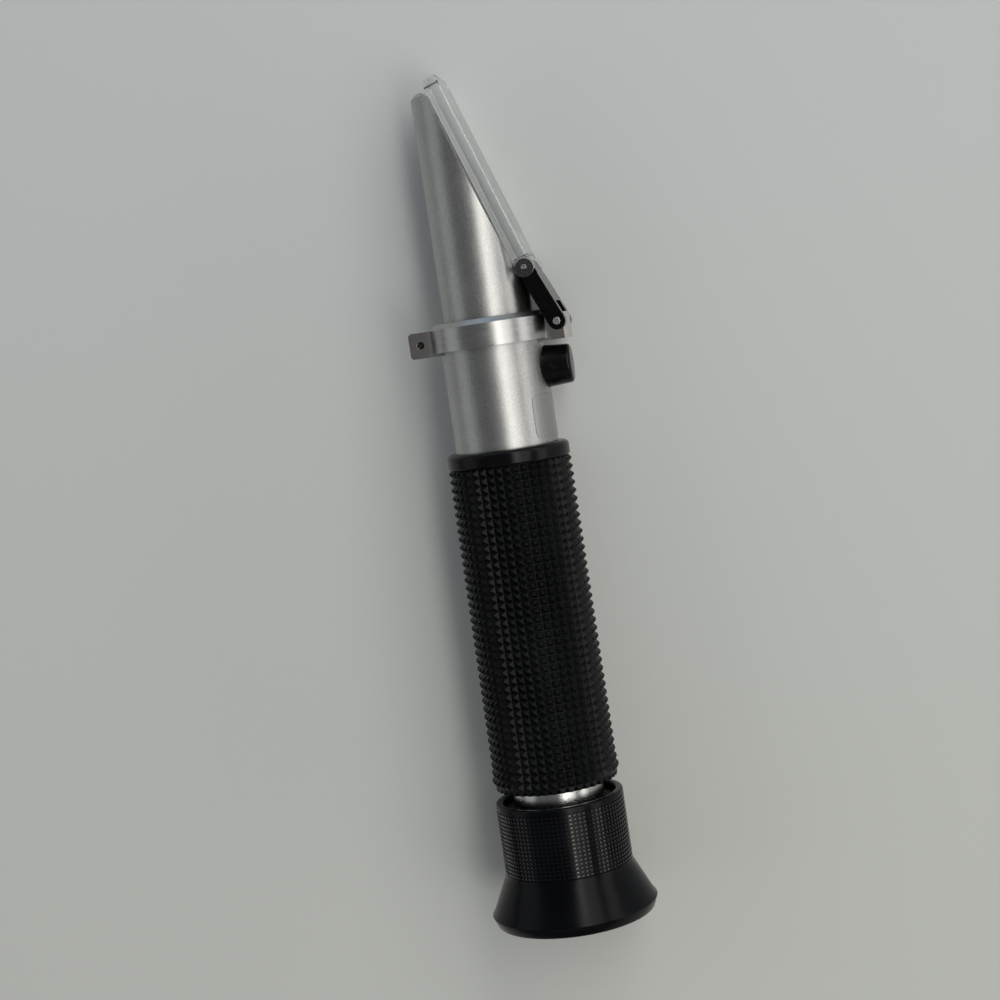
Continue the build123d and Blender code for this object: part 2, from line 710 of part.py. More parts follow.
def grip_line(x):
    """Radius of the grip over its pads at the station x: a slight taper, then a swollen end."""
    if x > grip_flare_x:
        share = (pad_front_x - x) / (pad_front_x - grip_flare_x)
        return grip_front_r + share * (grip_rear_r - grip_front_r)
    share = (grip_flare_x - x) / (grip_flare_x - grip_rear_x - 2 * grip_end_edge)
    return min(grip_end_r, grip_rear_r + share * (grip_end_r - grip_rear_r))


# One groove along the grip, at the depth of the grooves round it
grip_taper = atan((grip_rear_r - grip_front_r) / (pad_front_x - grip_flare_x))
with BuildPart() as pad_channel:
    with BuildSketch(Plane(origin=(pad_front_x + pad_relief / 2, grip_front_r - pad_relief, 0),
                           x_dir=(sin(grip_taper), cos(grip_taper), 0),
                           z_dir=(-cos(grip_taper), sin(grip_taper), 0))):
        Polygon((0, 0), (2 * pad_relief, pad_groove), (2 * pad_relief, -pad_groove), align=None)
    extrude(amount=far * 2)

# Rubber grip: flat-sided rings of pads, a smooth front lip and a swollen rear end
with BuildPart() as grip_sleeve:
    stations = []
    for row in range(pad_rows):
        groove_x = pad_front_x - row * pad_pitch
        if row:
            stations.append((groove_x + pad_groove / 2, grip_line(groove_x + pad_groove / 2)))
        stations.append((groove_x, grip_line(groove_x) - pad_relief))
        stations.append((groove_x - pad_groove / 2, grip_line(groove_x - pad_groove / 2)))
    stations.append((grip_rear_x + grip_end_edge, grip_end_r))
    stations.append((grip_rear_x + 0.3 * grip_end_edge, grip_end_r - 0.3 * grip_end_edge))
    stations.append((grip_rear_x, grip_end_r - grip_end_edge))
    for station_x, station_r in stations:
        with BuildSketch(Plane.YZ.offset(station_x)):
            RegularPolygon(station_r, pads_around, major_radius=False, rotation=0)
    loft(ruled=True)
    add([pad_channel.part.rotate(Axis.X, 360 / pads_around * turn) for turn in range(pads_around)],
        mode=Mode.SUBTRACT)
    # smooth lip
    lip_rear_x = grip_front_x - grip_lip_length
    with BuildSketch(Plane.XY):
        with BuildLine():
            Polyline((grip_front_x, 0), (grip_front_x, grip_lip_r - grip_lip_edge),
                     (grip_front_x - 0.3 * grip_lip_edge, grip_lip_r - 0.3 * grip_lip_edge),
                     (grip_front_x - grip_lip_edge, grip_lip_r), (lip_rear_x, grip_lip_r),
                     (pad_front_x - seat_gap, grip_seat_r + grip_overhang / 3), (pad_front_x - seat_gap, 0), close=True)
        make_face()
    revolve(axis=Axis.X)
    # bore, with a shoulder behind the tube's grip seat
    with BuildSketch(Plane.XY):
        with BuildLine():
            Polyline((grip_front_x + far, 0), (grip_front_x + far, grip_seat_r + press_gap),
                     (neck_front_x, grip_seat_r + press_gap), (neck_front_x, neck_r + seat_gap),
                     (grip_rear_x - far, neck_r + seat_gap), (grip_rear_x - far, 0), close=True)
        make_face()
    revolve(axis=Axis.X, mode=Mode.SUBTRACT)
grip_sleeve.part.label = "grip_sleeve"

# Eyepiece shell: the hard tube that screws along the focusing thread
with BuildPart() as eyepiece_shell:
    with BuildSketch(Plane.XY):
        with BuildLine():
            Polyline(
                (shell_front_x, shell_mouth_r), (shell_front_x, shell_r), (shell_step_x, shell_r),
                (shell_step_x, shell_neck_r), (shell_rear_x + tube_edge, shell_neck_r),
                (shell_rear_x, shell_neck_r - tube_edge), (shell_rear_x, shell_lip_r),
                (shell_rear_x + shell_lip, shell_lip_r), (shell_rear_x + shell_lip, lens_room_r),
                (lens_seat_front_x, lens_room_r), (lens_seat_front_x, thread_r + running_gap),
                (shell_front_x - shell_mouth_length, thread_r + running_gap),
                (shell_front_x - shell_mouth_length, shell_mouth_r), close=True)
        make_face()
    revolve(axis=Axis.X)
eyepiece_shell.part.label = "eyepiece_shell"

# Rubber eyecup: straight collar, flared cup and bevelled rim
with BuildPart() as eyecup:
    with BuildSketch(Plane.XY):
        with BuildLine():
            Polyline((cup_front_x - cup_rim_edge, cup_r), (cup_flare_x, cup_r), (cup_widest_x + cup_land, cup_widest_r),
                     (cup_widest_x, cup_widest_r), (cup_rear_x, cup_face_outer_r), (cup_rear_x, cup_face_inner_r),
                     (cup_floor_x, cup_floor_r), (cup_floor_x, shell_neck_r + press_gap),
                     (shell_step_x, shell_neck_r + press_gap), (shell_step_x, shell_r + press_gap),
                     (cup_front_x - cup_rim_edge, shell_r + press_gap),
                     (cup_front_x, shell_r + press_gap + cup_rim_edge), (cup_front_x, cup_r - cup_rim_edge), close=True)
        make_face()
    revolve(axis=Axis.X)
eyecup.part.label = "eyecup"

# Lens barrel inside the eyepiece shell, with its two lenses, their spacer and the ring that holds them
with BuildPart() as lens_barrel:
    with BuildSketch(Plane.XY):
        with BuildLine():
            Polyline((lens_barrel_front_x, barrel_lens_r), (lens_barrel_front_x, lens_barrel_r),
                     (lens_barrel_rear_x, lens_barrel_r), (lens_barrel_rear_x, lens_barrel_lip_r),
                     (eye_lens_rear_x, lens_barrel_lip_r), (eye_lens_rear_x, barrel_lens_r), close=True)
        make_face()
    revolve(axis=Axis.X)
lens_barrel.part.label = "lens_barrel"

with BuildPart() as eye_lens:
    with BuildSketch(Plane.XY):
        with BuildLine():
            Polyline((spacer_rear_x, 0), (eye_lens_rear_x, 0), (eye_lens_rear_x, lens_r),
                     (spacer_rear_x - eye_lens_crown, lens_r))
            RadiusArc((spacer_rear_x - eye_lens_crown, lens_r), (spacer_rear_x, 0),
                      crown_radius(lens_r, eye_lens_crown))
        make_face()
    revolve(axis=Axis.X)
eye_lens.part.label = "eye_lens"

with BuildPart() as lens_spacer:
    with BuildSketch(Plane.XY):
        with BuildLine():
            Polyline((spacer_rear_x, spacer_bore_r), (spacer_rear_x - eye_lens_crown + seat_gap, lens_r),
                     (field_lens_rear_x, lens_r), (field_lens_rear_x, spacer_bore_r), close=True)
        make_face()
    revolve(axis=Axis.X)
lens_spacer.part.label = "lens_spacer"

with BuildPart() as field_lens:
    with BuildSketch(Plane.YZ.offset(field_lens_rear_x)):
        Circle(lens_r)
    extrude(amount=field_lens_thick)
field_lens.part.label = "field_lens"

with BuildPart() as lens_ring:
    with BuildSketch(Plane.YZ.offset(lens_ring_rear_x)):
        Circle(lens_r)
        Circle(lens_ring_bore_r, mode=Mode.SUBTRACT)
    extrude(amount=lens_ring_length)
lens_ring.part.label = "lens_ring"

# Files
os.makedirs("parts", exist_ok=True)
pieces = [main_tube, prism_housing, main_prism, prism_bedding, clamp_ring, clamp_screw, hinge_link, link_pin,
          daylight_plate, plate_pin, screw_bush, calibration_screw, screw_cap, lens_carriage, objective_cell,
          bimetal_leaf, leaf_screws, objective_lens, objective_ring, light_stop, reticle, reticle_ring,
          grip_sleeve, eyepiece_shell, eyecup, lens_barrel, eye_lens, lens_spacer, field_lens, lens_ring]
for piece in pieces:
    export_step(piece.part, "parts/" + piece.part.label + ".step")
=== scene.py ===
import json
import math

import bmesh
import bpy
from mathutils import Matrix, Vector


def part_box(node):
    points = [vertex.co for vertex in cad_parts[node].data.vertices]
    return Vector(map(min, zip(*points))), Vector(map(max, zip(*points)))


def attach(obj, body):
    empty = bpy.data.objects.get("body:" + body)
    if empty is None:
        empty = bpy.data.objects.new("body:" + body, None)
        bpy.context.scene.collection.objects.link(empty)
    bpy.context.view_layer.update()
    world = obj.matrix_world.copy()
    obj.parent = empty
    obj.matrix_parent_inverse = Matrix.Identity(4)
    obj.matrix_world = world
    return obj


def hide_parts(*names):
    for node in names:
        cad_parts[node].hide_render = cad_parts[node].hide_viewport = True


# Looks of the salinity refractometer. +X runs along the optical axis to the prism,
# -Y is the hinge side and +Z is up. Everything is in metres.
mm = 0.001
weld = 0.001 * mm       # corners nearer than this are merged
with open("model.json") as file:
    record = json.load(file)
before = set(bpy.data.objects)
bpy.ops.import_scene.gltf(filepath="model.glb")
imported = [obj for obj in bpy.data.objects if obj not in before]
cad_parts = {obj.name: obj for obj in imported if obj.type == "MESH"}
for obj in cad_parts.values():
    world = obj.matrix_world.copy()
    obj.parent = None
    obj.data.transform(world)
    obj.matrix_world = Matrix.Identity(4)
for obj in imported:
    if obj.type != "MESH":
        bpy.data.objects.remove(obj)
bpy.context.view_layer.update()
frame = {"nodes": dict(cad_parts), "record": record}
bodies = frame["record"]["behaviour"]["bodies"]
bodyOf = {node: body for body, nodes in bodies.items() for node in nodes}
print("frame loaded:", len(frame["nodes"]), "nodes")


# Shader maths written as plain sums

class Signal:
    # one output of a node, which takes part in sums with numbers and other signals
    def __init__(self, finish, socket):
        self.finish = finish
        self.socket = socket

    def maths(self, operation, first, second=0.0):
        return self.finish.node("Math", {"operation": operation}, {0: first, 1: second})

    def __add__(self, other):
        return self.maths("ADD", self, other)

    def __radd__(self, other):
        return self.maths("ADD", other, self)

    def __sub__(self, other):
        return self.maths("SUBTRACT", self, other)

    def __rsub__(self, other):
        return self.maths("SUBTRACT", other, self)

    def __mul__(self, other):
        return self.maths("MULTIPLY", self, other)

    def __rmul__(self, other):
        return self.maths("MULTIPLY", other, self)

    def __gt__(self, other):
        return self.maths("GREATER_THAN", self, other)

    def __lt__(self, other):
        return self.maths("LESS_THAN", self, other)

    def least(self, other):
        return self.maths("MINIMUM", self, other)

    def most(self, other):
        return self.maths("MAXIMUM", self, other)

    def size(self):
        return self.maths("ABSOLUTE", self)

    def steps(self, low, high):
        # runs smoothly from 0 at low to 1 at high
        return self.finish.node("MapRange", {"interpolation_type": "SMOOTHSTEP"},
                                {0: self, 1: low, 2: high, 3: 0.0, 4: 1.0})


class Finish:
    # a material with a Principled shader, and the nodes that feed it
    def __init__(self, name):
        self.material = bpy.data.materials.new(name)
        self.material.use_nodes = True
        self.tree = self.material.node_tree
        self.shader = self.tree.nodes["Principled BSDF"]

    def node(self, kind, settings, values, output=0):
        made = self.tree.nodes.new("ShaderNode" + kind)
        for key, value in settings.items():
            setattr(made, key, value)
        for key, value in values.items():
            self.feed(made.inputs[key], value)
        return Signal(self, made.outputs[output])

    def feed(self, socket, value):
        if isinstance(value, Signal):
            self.tree.links.new(value.socket, socket)
        else:
            socket.default_value = value

    def surface(self, values):
        for key, value in values.items():
            self.feed(self.shader.inputs[key], value)

    def place(self):
        return self.node("TexCoord", {}, {}, "Object")

    def along(self, axis):
        return self.node("SeparateXYZ", {}, {0: self.place()}, "XYZ".index(axis))

    def noise(self, cell, detail=2.0, stretch=(1, 1, 1), roughness=0.5):
        # soft noise from 0 to 1, with blotches about cell metres across
        spread = [1 / (cell * share) for share in stretch]
        where = self.node("Mapping", {}, {"Vector": self.place(), "Scale": spread})
        return self.node("TexNoise", {}, {"Vector": where, "Scale": 1.0, "Detail": detail,
                                          "Roughness": roughness})

    def mix(self, share, first, second):
        shades = [(*shade, 1.0) if isinstance(shade, tuple) else shade for shade in (first, second)]
        return self.node("Mix", {"data_type": "RGBA"}, {0: share, 6: shades[0], 7: shades[1]}, 2)

    def bump(self, height, distance, strength=1.0):
        self.feed(self.shader.inputs["Normal"], self.node(
            "Bump", {}, {"Height": height, "Distance": distance, "Strength": strength}))


# Finishes, each named for what it covers

metalLook = {
    "sparkle": 0.28 * mm, "sparkleDepth": 2.1,
    "cloud": 6 * mm, "cloudDepth": 0.3, "cloudSheen": 0.06,
    "dark": (0.28, 0.279, 0.278), "light": (0.51, 0.507, 0.5),
    "roughness": 0.35, "glint": 0.25, "smoothest": 0.05, "grain": 0.02 * mm,
    "lightenedNeckX": -76.9 * mm,      # behind this the metal is bare and turned, and its colour is lightened as painted light against the shade of grip and eyecup
    "neckLightGain": 0.9, "polish": 0.13,
}


def satinAluminium(name, look):
    # blasted and anodised: fine sparkle and faint cloudiness; the bare turned neck at the rear is smoother,
    # and its colour is lightened there as painted light against the shade of grip and eyecup
    finish = Finish(name)
    sparkle = finish.noise(look["sparkle"], 3.0, roughness=0.7)
    cloud = finish.noise(look["cloud"], 3.0)
    # the bare neck: real turned metal, with its colour lightened as painted light where grip and eyecup shade
    # it
    bright = finish.along("X") < look["lightenedNeckX"]
    shade = (sparkle - 0.5) * look["sparkleDepth"] + (cloud - 0.5) * look["cloudDepth"] + bright + 0.5
    share = shade.most(0.0).least(1.0 + bright * look["neckLightGain"])
    finish.surface({
        "Base Color": finish.mix(share, look["dark"], look["light"]),
        "Metallic": 1.0,
        "Roughness": (look["roughness"] + (sparkle - 0.5) * look["glint"] - bright * look["polish"]
                      + (cloud - 0.5) * look["cloudSheen"]).most(look["smoothest"]),
    })
    finish.bump(sparkle, look["grain"])
    return finish.material


ringLook = {
    "cell": 0.5 * mm, "stretch": (1, 6, 6), "grain": 0.006 * mm,
    "dark": (0.33, 0.327, 0.324), "light": (0.46, 0.457, 0.453),
    "roughness": 0.29, "sheenSpread": 0.1, "smoothest": 0.05,
    "earStart": 13.15 * mm, "earEnd": 13.45 * mm,       # either way along Y
    "earCell": 2.5 * mm, "earShade": (0.56, 0.48, 0.445), "earRoughness": 0.1, "earSmoothing": 0.6,
}


def turnedRing(name, look):
    # turned satin on the ring, milled and nearly bright on its ears
    finish = Finish(name)
    turned = finish.noise(look["cell"], 3.0, look["stretch"])
    cloud = finish.noise(look["earCell"])
    ear = finish.along("Y").size().steps(look["earStart"], look["earEnd"])
    ringShade = finish.mix(turned, look["dark"], look["light"])
    earShade = finish.mix(cloud, look["earShade"], look["light"])
    finish.surface({
        "Base Color": finish.mix(ear, ringShade, earShade),
        "Metallic": 1.0,
        "Roughness": (look["roughness"] + (turned - 0.5) * look["sheenSpread"]
                      + ear * (look["earRoughness"] - look["roughness"])).most(look["smoothest"]),
    })
    finish.bump(turned * (1.0 - ear * look["earSmoothing"]), look["grain"])
    return finish.material


filmLook = {
    "sparkle": 0.3 * mm, "wave": 3 * mm, "grain": 0.01 * mm,
    "dark": (0.29, 0.29, 0.285), "light": (0.42, 0.42, 0.41),
    "roughness": 0.38, "sheenSpread": 0.1, "coat": 0.2, "coatWave": 0.2, "coatRoughness": 0.12,
}


def filmOnMetal(name, look):
    # the barrel's metal seen through a clear glossy film
    finish = Finish(name)
    sparkle = finish.noise(look["sparkle"])
    wave = finish.noise(look["wave"])
    finish.surface({
        "Base Color": finish.mix(sparkle, look["dark"], look["light"]),
        "Metallic": 1.0,
        "Roughness": look["roughness"] + (sparkle - 0.5) * look["sheenSpread"],
        "Coat Weight": (wave * look["coatWave"] + look["coat"]).least(1.0),
        "Coat Roughness": look["coatRoughness"],
    })
    finish.bump(wave, look["grain"])
    return finish.material


steelLook = {"cell": 0.25 * mm, "sheenSpread": 0.12, "grain": 0.01 * mm}


def polishedSteel(name, look):
    finish = Finish(name)
    turned = finish.noise(look["cell"])
    finish.surface({
        "Base Color": finish.mix(turned, look["dark"], look["light"]),
        "Metallic": 1.0,
        "Roughness": look["roughness"] + (turned - 0.5) * look["sheenSpread"],
    })
    finish.bump(turned, look["grain"])
    return finish.material


rubberLook = {
    "speckFrom": 0.74, "speckTo": 0.8, "dust": 0.02, "dustShade": (0.2, 0.2, 0.19),
    "bloomFrom": 0.35, "bloomTo": 0.8, "bloomSheen": 0.1, "smoothest": 0.08,
}


def blackRubber(name, look):
    # moulded rubber: soft sheen, faint bloom and dust caught in the grain
    finish = Finish(name)
    grain = finish.noise(look["grainCell"], 4.0, roughness=0.65)
    bloom = finish.noise(look["bloomCell"], 3.0)
    specks = finish.noise(look["speckCell"], 0.0).steps(look["speckFrom"], look["speckTo"])
    shade = finish.mix(bloom.steps(look["bloomFrom"], look["bloomTo"]), look["dark"], look["light"])
    finish.surface({
        "Base Color": finish.mix(specks * look["dust"], shade, look["dustShade"]),
        "Roughness": (look["roughness"] + (grain - 0.5) * look["sheenSpread"]
                      + (bloom - 0.5) * look["bloomSheen"]).most(look["smoothest"]),
        "Specular IOR Level": look["gloss"],
    })
    if "dots" in look:      # raised cells that are rubbed smooth on top
        dots = look["dots"]
        across, up, lengthways = (finish.along(axis) for axis in "YZX")
        raised = across * across + up * up > dots["radius"] ** 2
        onCollar = (lengthways < dots["front"]) * (lengthways > dots["rear"])
        finish.surface({"Coat Weight": raised * onCollar * dots["coat"],
                        "Coat Roughness": dots["coatRoughness"]})
    finish.bump(grain, look["grain"])
    return finish.material


plateLook = {
    "hazeCell": 5 * mm, "hazeSheen": 0.04, "wave": 0.01 * mm,
    "scuffCell": 0.6 * mm, "scuffStretch": (1, 14, 14), "scuffFrom": 0.62, "scuffTo": 0.8, "scuff": 0.12,
    "dark": (0.95, 0.955, 0.96), "light": (0.995, 0.995, 0.995),
    "roughness": 0.04, "ior": 1.49, "clear": 0.988,
}


def clearAcrylic(name, look):
    # cast sheet, polished, with faint haze and fine scuffs
    finish = Finish(name)
    haze = finish.noise(look["hazeCell"], 3.0)
    scuffs = finish.noise(look["scuffCell"], 2.0, look["scuffStretch"])
    worn = scuffs.steps(look["scuffFrom"], look["scuffTo"])
    finish.surface({
        "Base Color": finish.mix(haze, look["dark"], look["light"]),
        "Roughness": (haze - 0.5) * look["hazeSheen"] + worn * look["scuff"] + look["roughness"],
        "IOR": look["ior"],
        "Transmission Weight": look["clear"],
    })
    finish.bump(haze, look["wave"])
    return finish.material


glassLook = {"coatFrom": 0.4, "coatSheen": 0.05, "roughness": 0.01, "ior": 1.52}


def opticalGlass(name, look):
    finish = Finish(name)
    coat = finish.noise(look["cell"])
    finish.surface({
        "Base Color": finish.mix(coat, look["dark"], look["light"]),
        "Roughness": (coat - look["coatFrom"]).most(0.0) * look["coatSheen"] + look["roughness"],
        "IOR": look["ior"],
        "Transmission Weight": look["clear"],
    })
    return finish.material


finishes = {
    "tube": satinAluminium("anodisedTube", metalLook),
    "housing": satinAluminium("anodisedHousing", {**metalLook, "roughness": 0.36, "glint": 0.34}),
    "ring": turnedRing("turnedRing", ringLook),
    "film": filmOnMetal("labelFilm", filmLook),
    "steel": polishedSteel("turnedSteel", {
        **steelLook, "dark": (0.42, 0.42, 0.42), "light": (0.72, 0.72, 0.71), "roughness": 0.26}),
    "carriage": polishedSteel("machinedCarriage", {
        **steelLook, "cell": 0.3 * mm, "dark": (0.4, 0.4, 0.41), "light": (0.62, 0.62, 0.63),
        "roughness": 0.35}),
    "brass": polishedSteel("turnedBrass", {
        **steelLook, "dark": (0.48, 0.34, 0.13), "light": (0.78, 0.6, 0.3), "roughness": 0.28}),
    "leaf": polishedSteel("rolledLeaf", {
        **steelLook, "cell": 0.4 * mm, "dark": (0.4, 0.34, 0.26), "light": (0.62, 0.55, 0.45),
        "roughness": 0.35}),
    "blackSteel": polishedSteel("blackedSteel", {
        **steelLook, "dark": (0.02, 0.02, 0.02), "light": (0.06, 0.06, 0.06), "roughness": 0.4}),
    "grip": blackRubber("gripRubber", {
        **rubberLook, "grainCell": 0.12 * mm, "bloomCell": 9 * mm, "speckCell": 1.6 * mm,
        "dark": (0.0015, 0.0018, 0.0022), "light": (0.004, 0.0045, 0.0052),
        "roughness": 0.34, "sheenSpread": 0.14, "gloss": 0.12, "grain": 0.01 * mm}),
    "eyecup": blackRubber("eyecupRubber", {
        **rubberLook, "grainCell": 0.2 * mm, "bloomCell": 12 * mm, "speckCell": 2.2 * mm,
        "dark": (0.001, 0.0012, 0.002), "light": (0.0025, 0.003, 0.005),
        "dust": 0.0, "roughness": 0.22, "sheenSpread": 0.08, "gloss": 0.12, "grain": 0.006 * mm,
        "dots": {"radius": 14.07 * mm, "front": -84.4 * mm, "rear": -98.8 * mm,
                 "coat": 0.65, "coatRoughness": 0.12}}),
    "cap": blackRubber("capRubber", {
        **rubberLook, "grainCell": 0.15 * mm, "bloomCell": 3 * mm, "speckCell": 1.2 * mm,
        "dark": (0.002, 0.002, 0.0025), "light": (0.004, 0.004, 0.005),
        "roughness": 0.2, "sheenSpread": 0.08, "gloss": 0.15, "grain": 0.008 * mm}),
    "link": blackRubber("linkPlastic", {
        **rubberLook, "grainCell": 0.1 * mm, "bloomCell": 4 * mm, "speckCell": 1.5 * mm,
        "dark": (0.0015, 0.0015, 0.0015), "light": (0.003, 0.003, 0.0032),
        "dust": 0.015, "roughness": 0.16, "sheenSpread": 0.06, "gloss": 0.13, "grain": 0.004 * mm}),
    "shell": blackRubber("shellPlastic", {
        **rubberLook, "grainCell": 0.1 * mm, "bloomCell": 5 * mm, "speckCell": 1.5 * mm,
        "dark": (0.008, 0.008, 0.008), "light": (0.015, 0.015, 0.015),
        "dust": 0.1, "roughness": 0.5, "sheenSpread": 0.12, "gloss": 0.4, "grain": 0.01 * mm}),
    "plate": clearAcrylic("clearPlate", plateLook),
    "prism": opticalGlass("prismGlass", {
        **glassLook, "cell": 8 * mm, "dark": (0.8, 0.88, 0.92), "light": (0.9, 0.95, 0.97), "clear": 0.9}),
    "lens": opticalGlass("lensGlass", {
        **glassLook, "cell": 6 * mm, "dark": (0.82, 0.9, 0.9), "light": (0.95, 0.98, 1.0), "clear": 1.0}),
}
print("finishes made:", len(finishes))


# Meshes

def pieceFrom(shape, name, finish, body, angle=35):
    # turns a finished bmesh into a piece on its body, smooth except at edges sharper than angle
    for face in shape.faces:
        face.smooth = True
    for edge in shape.edges:
        edge.smooth = len(edge.link_faces) == 2 and edge.calc_face_angle(0) < math.radians(angle)
    mesh = bpy.data.meshes.new(name)
    shape.to_mesh(mesh)
    shape.free()
    mesh.materials.append(finishes[finish])
    piece = bpy.data.objects.new(name, mesh)
    bpy.context.scene.collection.objects.link(piece)
    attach(piece, body)
    return piece


def softenEdges(piece, width, segments, angle):
    bevel = piece.modifiers.new("edges", "BEVEL")
    bevel.width = width
    bevel.segments = segments
    bevel.limit_method = "ANGLE"
    bevel.angle_limit = math.radians(angle)
    bevel.harden_normals = True
    return piece


def slotOf(piece):
    return piece


cleanUp = {
    "merge": 0.0005 * mm,
    "flat": 0.5,        # degrees, edges flatter than this go
    "sharp": 30,        # degrees, edges sharper than this stay and are softened
}


def dressed(node, name, finish, width):
    # a merged copy of a node with smooth normals and softened edges, which stands for the node
    shape = bmesh.new()
    shape.from_mesh(frame["nodes"][node].data)
    bmesh.ops.remove_doubles(shape, verts=shape.verts, dist=cleanUp["merge"])
    bmesh.ops.dissolve_limit(shape, angle_limit=math.radians(cleanUp["flat"]), verts=shape.verts,
                             edges=shape.edges)
    bmesh.ops.recalc_face_normals(shape, faces=shape.faces)
    piece = pieceFrom(shape, name, finish, bodyOf[node], cleanUp["sharp"])
    if width:
        softenEdges(piece, width, 2, cleanUp["sharp"])
    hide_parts(node)
    return piece


plainPieces = {
    # node: name of the piece, finish, width of its softened edges
    "main_tube": ("barrelTube", "tube", 0.06 * mm),
    "prism_housing": ("prismHousing", "housing", 0.05 * mm),
    "clamp_ring": ("clampRing", "ring", 0.12 * mm),
    "clamp_screw": ("clampScrew", "blackSteel", 0.05 * mm),
    "hinge_link": ("hingeLink", "link", 0.1 * mm),
    "link_pin": ("linkPin", "steel", 0.12 * mm),
    "daylight_plate": ("daylightPlate", "plate", 0.08 * mm),
    "plate_pin": ("platePin", "steel", 0.05 * mm),
    "screw_bush": ("screwBush", "brass", 0.05 * mm),
    "calibration_screw": ("calibrationScrew", "brass", 0.05 * mm),
    "eyepiece_shell": ("eyepieceShell", "shell", 0.08 * mm),
    "lens_barrel": ("lensBarrel", "shell", 0.04 * mm),
    "lens_ring": ("lensRing", "shell", 0.03 * mm),
    "main_prism": ("mainPrism", "prism", 0.06 * mm),
    "prism_bedding": ("prismBedding", "shell", 0.0),
    "eye_lens": ("eyeLens", "lens", 0.0),
}
for node, (name, finish, width) in plainPieces.items():
    slotOf(dressed(node, name, finish, width))
print("rigid pieces dressed:", len(plainPieces))

hiddenPieces = {
    "lens_carriage": "carriage", "objective_cell": "carriage", "bimetal_leaf": "leaf", "leaf_screws": "steel",
    "objective_lens": "lens", "objective_ring": "shell", "light_stop": "shell", "reticle": "lens",
    "reticle_ring": "shell", "lens_spacer": "shell", "field_lens": "lens",
}
for node, finish in hiddenPieces.items():
    for slot in frame["nodes"][node].material_slots:
        slot.link = "OBJECT"
        slot.material = finishes[finish]
    slotOf(frame["nodes"][node])
print("inner pieces finished:", len(hiddenPieces))


def spunAbout(shape, outline, steps):
    # turns a closed outline of (x, radius) points about the optical axis
    corners = [shape.verts.new((x, 0, radius)) for x, radius in outline]
    edges = [shape.edges.new((corners[i - 1], corners[i])) for i in range(len(corners))]
    bmesh.ops.spin(shape, geom=corners + edges, cent=(0, 0, 0), axis=(1, 0, 0), dvec=(0, 0, 0),
                   angle=2 * math.pi, steps=steps, use_merge=True, use_duplicate=False)
    bmesh.ops.remove_doubles(shape, verts=shape.verts, dist=weld)
    bmesh.ops.recalc_face_normals(shape, faces=shape.faces)


def arcPoints(centre, radius, start, end, count):
    # points of an arc in the plane of an outline, angles in degrees from +x
    turns = [math.radians(start + (end - start) * i / count) for i in range(count + 1)]
    return [(centre[0] + radius * math.cos(turn), centre[1] + radius * math.sin(turn)) for turn in turns]


def farOut(face):
    # how far a face's middle lies from the optical axis
    middle = face.calc_center_median()
    return math.hypot(middle.y, middle.z)


# Rubber grip with its square pyramids, and the smooth lip in front of them

grip = {
    "cellsAround": 44,
    "rowPitch": 1.8 * mm,
    "height": 0.72 * mm,        # of the pyramids
    "rise": 0.98,               # share of it that their tops are lifted by
    "valley": 0.05 * mm,        # half the groove between two pyramids
    "tip": 0.2 * mm,            # flat left on a pyramid's top
    "skinRadius": 11.91 * mm,   # only faces outside it become pyramids
    "steepest": 0.95,           # and none that face along the axis
    "slack": 0.01 * mm,         # leaves the end faces out
    "boreRadius": 10.93 * mm,
    "frontRadius": 13.5 * mm,
    "rearRadius": 13.85 * mm,
    "endRadius": 14.2 * mm,
    "flareLength": 4.8 * mm,
    "endEdge": 1.6 * mm,
    "endTurn": 0.8,             # share of the rounded end that has pyramids
    "endDrop": 0.4 * mm,
    "neckRadius": 10.25 * mm,
    "neckLength": 3.3 * mm,
    "lipLength": 3.25 * mm,
    "lipRadius": 13.35 * mm,
    "lipEdge": 1.1 * mm,
    "lipRearEdge": 0.5 * mm,
    "lipSteps": 144,
    "crease": 25,
}


def gripLine(distance, low, high):
    # outer line of the grip from the lip backwards: (x, radius) at a distance along it
    start, end = high.x - grip["lipLength"], low.x
    flareX = end + grip["flareLength"]
    bendX = end + grip["endEdge"]
    x = start - distance
    if x >= flareX:
        share = (start - x) / (start - flareX)
        return x, grip["frontRadius"] + share * (grip["rearRadius"] - grip["frontRadius"])
    if x >= bendX:
        share = (flareX - x) / (flareX - bendX)
        return x, grip["rearRadius"] + share * (grip["endRadius"] - grip["rearRadius"])
    turn = (bendX - x) / grip["endEdge"]
    return (bendX - grip["endEdge"] * math.sin(turn),
            grip["endRadius"] - grip["endEdge"] * (1 - math.cos(turn)))


def makeGrip():
    low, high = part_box("grip_sleeve")
    bore, neck = grip["boreRadius"], grip["neckRadius"]
    straight = high.x - grip["lipLength"] - low.x - grip["endEdge"]
    length = straight + grip["endEdge"] * math.pi / 2 * grip["endTurn"]
    rows = round(length / grip["rowPitch"])
    line = [gripLine(length * i / rows, low, high) for i in range(rows + 1)]
    base = [(x, radius - grip["height"]) for x, radius in line]
    neckX = low.x + grip["neckLength"]
    outline = base + [(low.x, base[-1][1] - grip["endDrop"]), (low.x, neck), (neckX, neck), (neckX, bore),
                      (base[0][0], bore)]
    shape = bmesh.new()
    spunAbout(shape, outline, grip["cellsAround"])
    firstX, lastX = base[0][0] - grip["slack"], base[-1][0] - grip["slack"]
    cells = [face for face in shape.faces
             if farOut(face) > grip["skinRadius"] and lastX < face.calc_center_median().x < firstX
             and abs(face.normal.x) < grip["steepest"]]
    bmesh.ops.inset_individual(shape, faces=cells, thickness=grip["valley"], depth=0, use_even_offset=True)
    slope = grip["rowPitch"] / 2 - grip["valley"] - grip["tip"] / 2
    bmesh.ops.inset_individual(shape, faces=cells, thickness=slope, depth=grip["height"] * grip["rise"],
                               use_even_offset=True)
    sleeve = pieceFrom(shape, "gripSleeve", "grip", bodyOf["grip_sleeve"], grip["crease"])
    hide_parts("grip_sleeve")
    slotOf(sleeve)
    print("grip rows:", rows, "cells:", len(cells))


